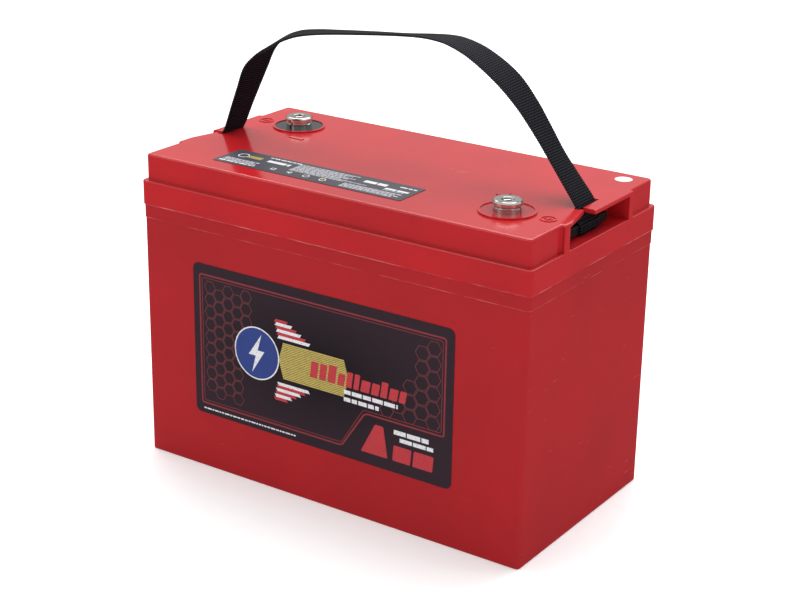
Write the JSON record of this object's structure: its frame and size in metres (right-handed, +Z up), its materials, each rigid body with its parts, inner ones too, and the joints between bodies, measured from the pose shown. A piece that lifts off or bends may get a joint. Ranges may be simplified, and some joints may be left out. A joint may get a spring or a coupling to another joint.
{
  "type": "deep cycle battery",
  "caption": "Sealed lead-acid deep cycle battery: box case with stepped lid, two round threaded terminals in potted wells, recessed end pockets and a webbing carrying strap.",
  "frame": {"origin": "centre of the case's underside", "axes": "+X along the case towards the positive terminal's end, -Y towards the side with the large label, +Z up"},
  "size_m": [0.3316, 0.1754, 0.3362],
  "materials": {
    "case_plastic": "gloss moulded ABS, red",
    "lid_plastic": "gloss moulded ABS, red",
    "sealant": "cured epoxy",
    "negative_plate": "pasted lead grid, spongy lead",
    "positive_plate": "pasted lead grid, lead dioxide",
    "glass_mat": "absorbed glass mat",
    "lead": "cast lead alloy",
    "terminal_metal": "tinned brass",
    "epoxy_positive": "potted epoxy, red",
    "epoxy_negative": "potted epoxy, dark",
    "rubber": "moulded rubber",
    "front_label": "printed vinyl",
    "top_label": "printed vinyl",
    "check_dot": "white adhesive dot",
    "webbing": "woven polypropylene webbing, black",
    "bar_plastic": "moulded nylon, black"
  },
  "bodies": {
    "battery": {"case": "case_plastic", "inner_lid": "case_plastic", "lid": "lid_plastic", "lid_sealant": "sealant", "negative_plates_1": "negative_plate", "positive_plates_1": "positive_plate", "separators_1": "glass_mat", "positive_strap_1": "lead", "negative_strap_1": "lead", "negative_plates_2": "negative_plate", "positive_plates_2": "positive_plate", "separators_2": "glass_mat", "positive_strap_2": "lead", "negative_strap_2": "lead", "negative_plates_3": "negative_plate", "positive_plates_3": "positive_plate", "separators_3": "glass_mat", "positive_strap_3": "lead", "negative_strap_3": "lead", "negative_plates_4": "negative_plate", "positive_plates_4": "positive_plate", "separators_4": "glass_mat", "positive_strap_4": "lead", "negative_strap_4": "lead", "negative_plates_5": "negative_plate", "positive_plates_5": "positive_plate", "separators_5": "glass_mat", "positive_strap_5": "lead", "negative_strap_5": "lead", "negative_plates_6": "negative_plate", "positive_plates_6": "positive_plate", "separators_6": "glass_mat", "positive_strap_6": "lead", "negative_strap_6": "lead", "intercell_welds": "lead", "riser_negative": "lead", "riser_positive": "lead", "terminal_positive": "terminal_metal", "epoxy_seal_positive": "epoxy_positive", "o_ring_positive": "rubber", "terminal_negative": "terminal_metal", "epoxy_seal_negative": "epoxy_negative", "o_ring_negative": "rubber", "front_label": "front_label", "top_label": "top_label", "check_dot": "check_dot", "strap_end_right": "webbing", "t_bar_right": "bar_plastic", "strap_end_left": "webbing", "t_bar_left": "bar_plastic"},
    "handle": {"handle_strap": "webbing"},
    "valve_1": {"relief_valve_1": "rubber"},
    "valve_2": {"relief_valve_2": "rubber"},
    "valve_3": {"relief_valve_3": "rubber"},
    "valve_4": {"relief_valve_4": "rubber"},
    "valve_5": {"relief_valve_5": "rubber"},
    "valve_6": {"relief_valve_6": "rubber"}
  },
  "joints": [
    {"name": "handle_swing", "type": "hinge", "parent": "battery", "child": "handle", "pos_m": [0, 0.003, 0.25], "axis": [1, 0, 0], "range_deg": [-70, 70]},
    {"name": "valve_1_lift", "type": "slide", "parent": "battery", "child": "valve_1", "axis": [0, 0, 1], "range_m": [0, 0.0006], "stiffness_N_per_m": 200},
    {"name": "valve_2_lift", "type": "slide", "parent": "battery", "child": "valve_2", "axis": [0, 0, 1], "range_m": [0, 0.0006], "stiffness_N_per_m": 200},
    {"name": "valve_3_lift", "type": "slide", "parent": "battery", "child": "valve_3", "axis": [0, 0, 1], "range_m": [0, 0.0006], "stiffness_N_per_m": 200},
    {"name": "valve_4_lift", "type": "slide", "parent": "battery", "child": "valve_4", "axis": [0, 0, 1], "range_m": [0, 0.0006], "stiffness_N_per_m": 200},
    {"name": "valve_5_lift", "type": "slide", "parent": "battery", "child": "valve_5", "axis": [0, 0, 1], "range_m": [0, 0.0006], "stiffness_N_per_m": 200},
    {"name": "valve_6_lift", "type": "slide", "parent": "battery", "child": "valve_6", "axis": [0, 0, 1], "range_m": [0, 0.0006], "stiffness_N_per_m": 200}
  ]
}
